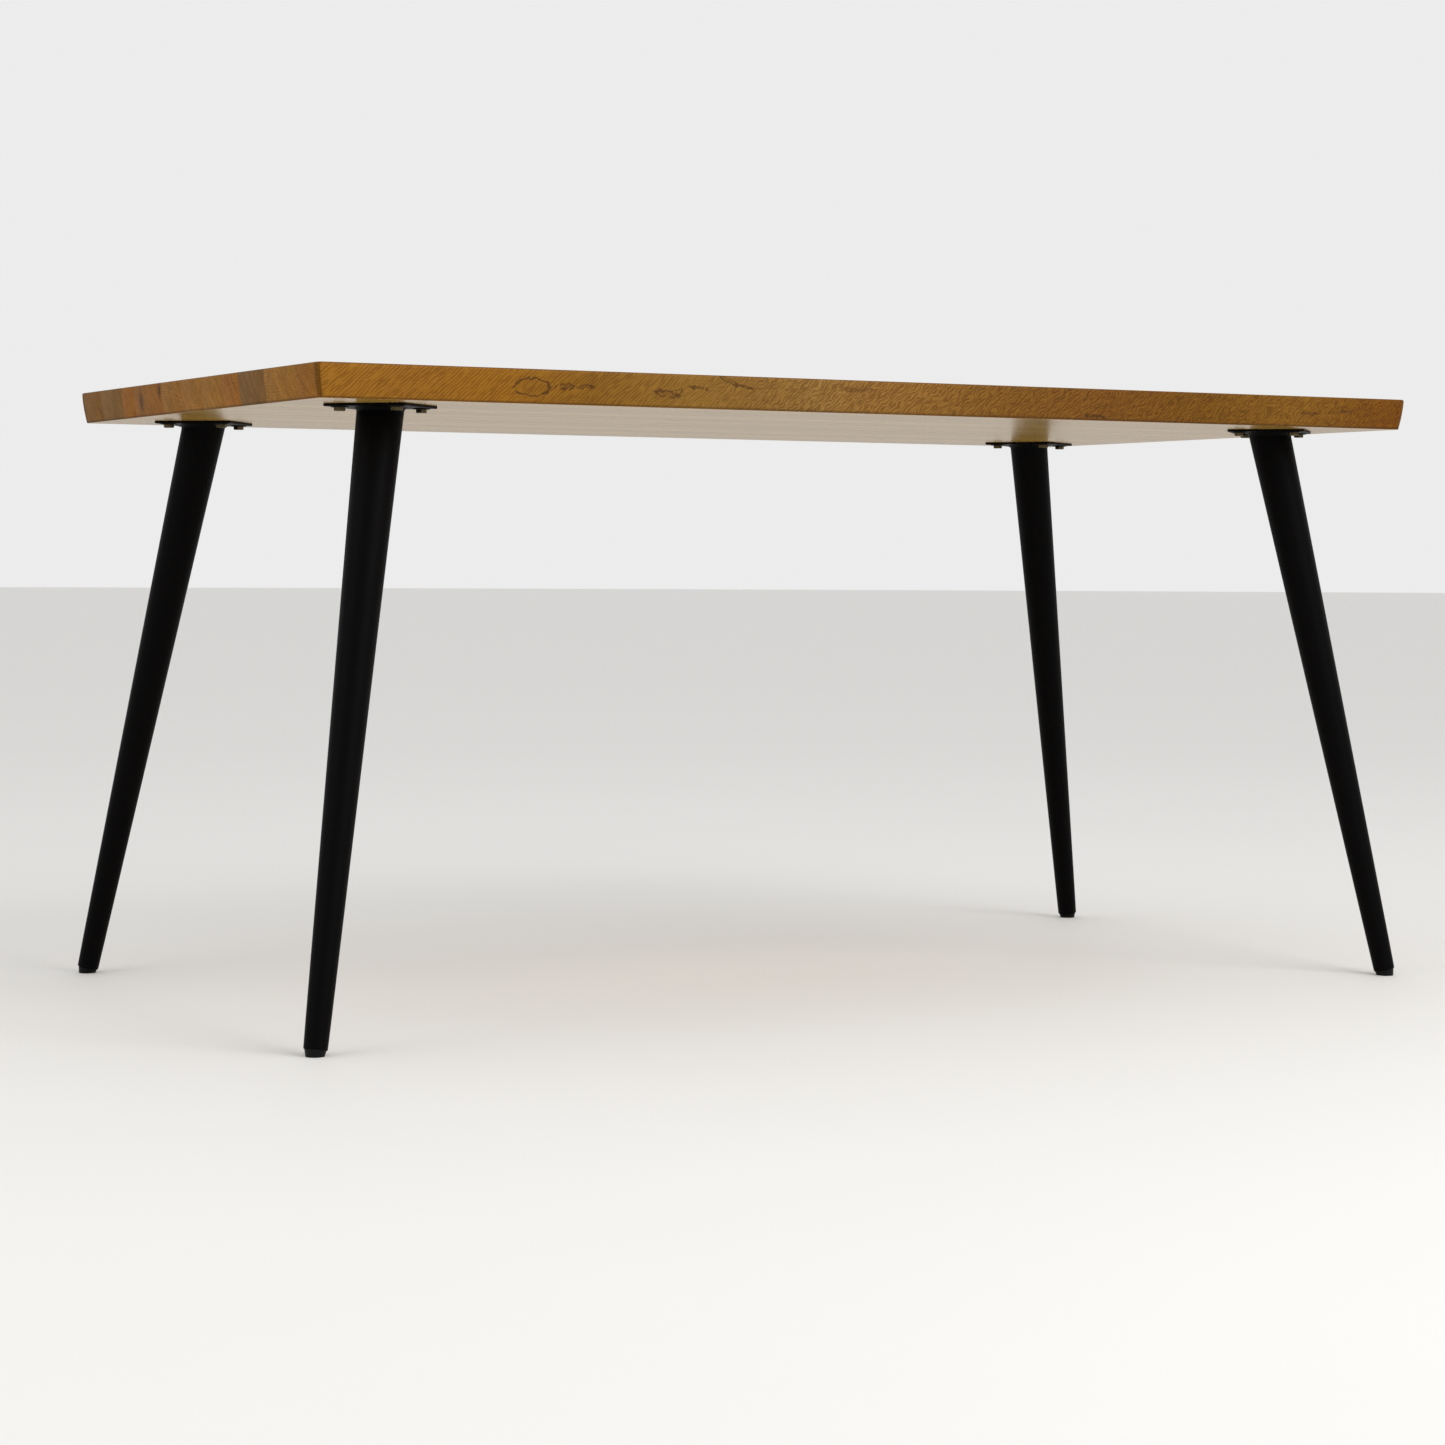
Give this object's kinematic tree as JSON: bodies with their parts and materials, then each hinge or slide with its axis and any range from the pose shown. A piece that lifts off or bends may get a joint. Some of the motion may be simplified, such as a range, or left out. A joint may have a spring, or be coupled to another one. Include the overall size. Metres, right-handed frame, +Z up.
{
  "type": "butcher block table",
  "caption": "Butcher block table: an edge-glued hardwood top on splayed, tapered black steel legs, each welded to a square plate screwed to the underside.",
  "frame": {"origin": "on the floor, at the centre of the table's footprint", "axes": "+X along the length of the top, +Y to the back, +Z up"},
  "size_m": [1.579, 0.8454, 0.757],
  "materials": {
    "wood_golden": "oiled hardwood, golden brown with fleck and a few dark zone lines",
    "wood_tan": "oiled hardwood, light tan",
    "wood_grey_brown": "oiled hardwood, greyish brown",
    "wood_orange": "oiled hardwood, orange brown with flame figure",
    "black_powder_coat": "satin black powder coat on steel",
    "black_nylon": "moulded black plastic glide",
    "zinc_steel": "yellow-zinc plated hex heads",
    "blackened_steel": "dark washers"
  },
  "bodies": {
    "root": {"stave_01_left": "wood_golden", "stave_01_right": "wood_golden", "stave_02": "wood_tan", "stave_03_left": "wood_grey_brown", "stave_03_right": "wood_grey_brown", "stave_04": "wood_orange", "stave_05": "wood_tan", "stave_06_left": "wood_golden", "stave_06_right": "wood_golden", "stave_07": "wood_tan", "stave_08_left": "wood_golden", "stave_08_right": "wood_golden", "stave_09": "wood_orange", "stave_10_left": "wood_grey_brown", "stave_10_right": "wood_grey_brown", "stave_11": "wood_grey_brown", "leg_front_left": "black_powder_coat", "mounting_plate_front_left": "black_powder_coat", "foot_glide_front_left": "black_nylon", "washer_front_left_1": "blackened_steel", "lag_screw_front_left_1": "zinc_steel", "washer_front_left_2": "blackened_steel", "lag_screw_front_left_2": "zinc_steel", "washer_front_left_3": "blackened_steel", "lag_screw_front_left_3": "zinc_steel", "washer_front_left_4": "blackened_steel", "lag_screw_front_left_4": "zinc_steel", "leg_front_right": "black_powder_coat", "mounting_plate_front_right": "black_powder_coat", "foot_glide_front_right": "black_nylon", "washer_front_right_1": "blackened_steel", "lag_screw_front_right_1": "zinc_steel", "washer_front_right_2": "blackened_steel", "lag_screw_front_right_2": "zinc_steel", "washer_front_right_3": "blackened_steel", "lag_screw_front_right_3": "zinc_steel", "washer_front_right_4": "blackened_steel", "lag_screw_front_right_4": "zinc_steel", "leg_back_right": "black_powder_coat", "mounting_plate_back_right": "black_powder_coat", "foot_glide_back_right": "black_nylon", "washer_back_right_1": "blackened_steel", "lag_screw_back_right_1": "zinc_steel", "washer_back_right_2": "blackened_steel", "lag_screw_back_right_2": "zinc_steel", "washer_back_right_3": "blackened_steel", "lag_screw_back_right_3": "zinc_steel", "washer_back_right_4": "blackened_steel", "lag_screw_back_right_4": "zinc_steel", "leg_back_left": "black_powder_coat", "mounting_plate_back_left": "black_powder_coat", "foot_glide_back_left": "black_nylon", "washer_back_left_1": "blackened_steel", "lag_screw_back_left_1": "zinc_steel", "washer_back_left_2": "blackened_steel", "lag_screw_back_left_2": "zinc_steel", "washer_back_left_3": "blackened_steel", "lag_screw_back_left_3": "zinc_steel", "washer_back_left_4": "blackened_steel", "lag_screw_back_left_4": "zinc_steel"}
  },
  "joints": []
}
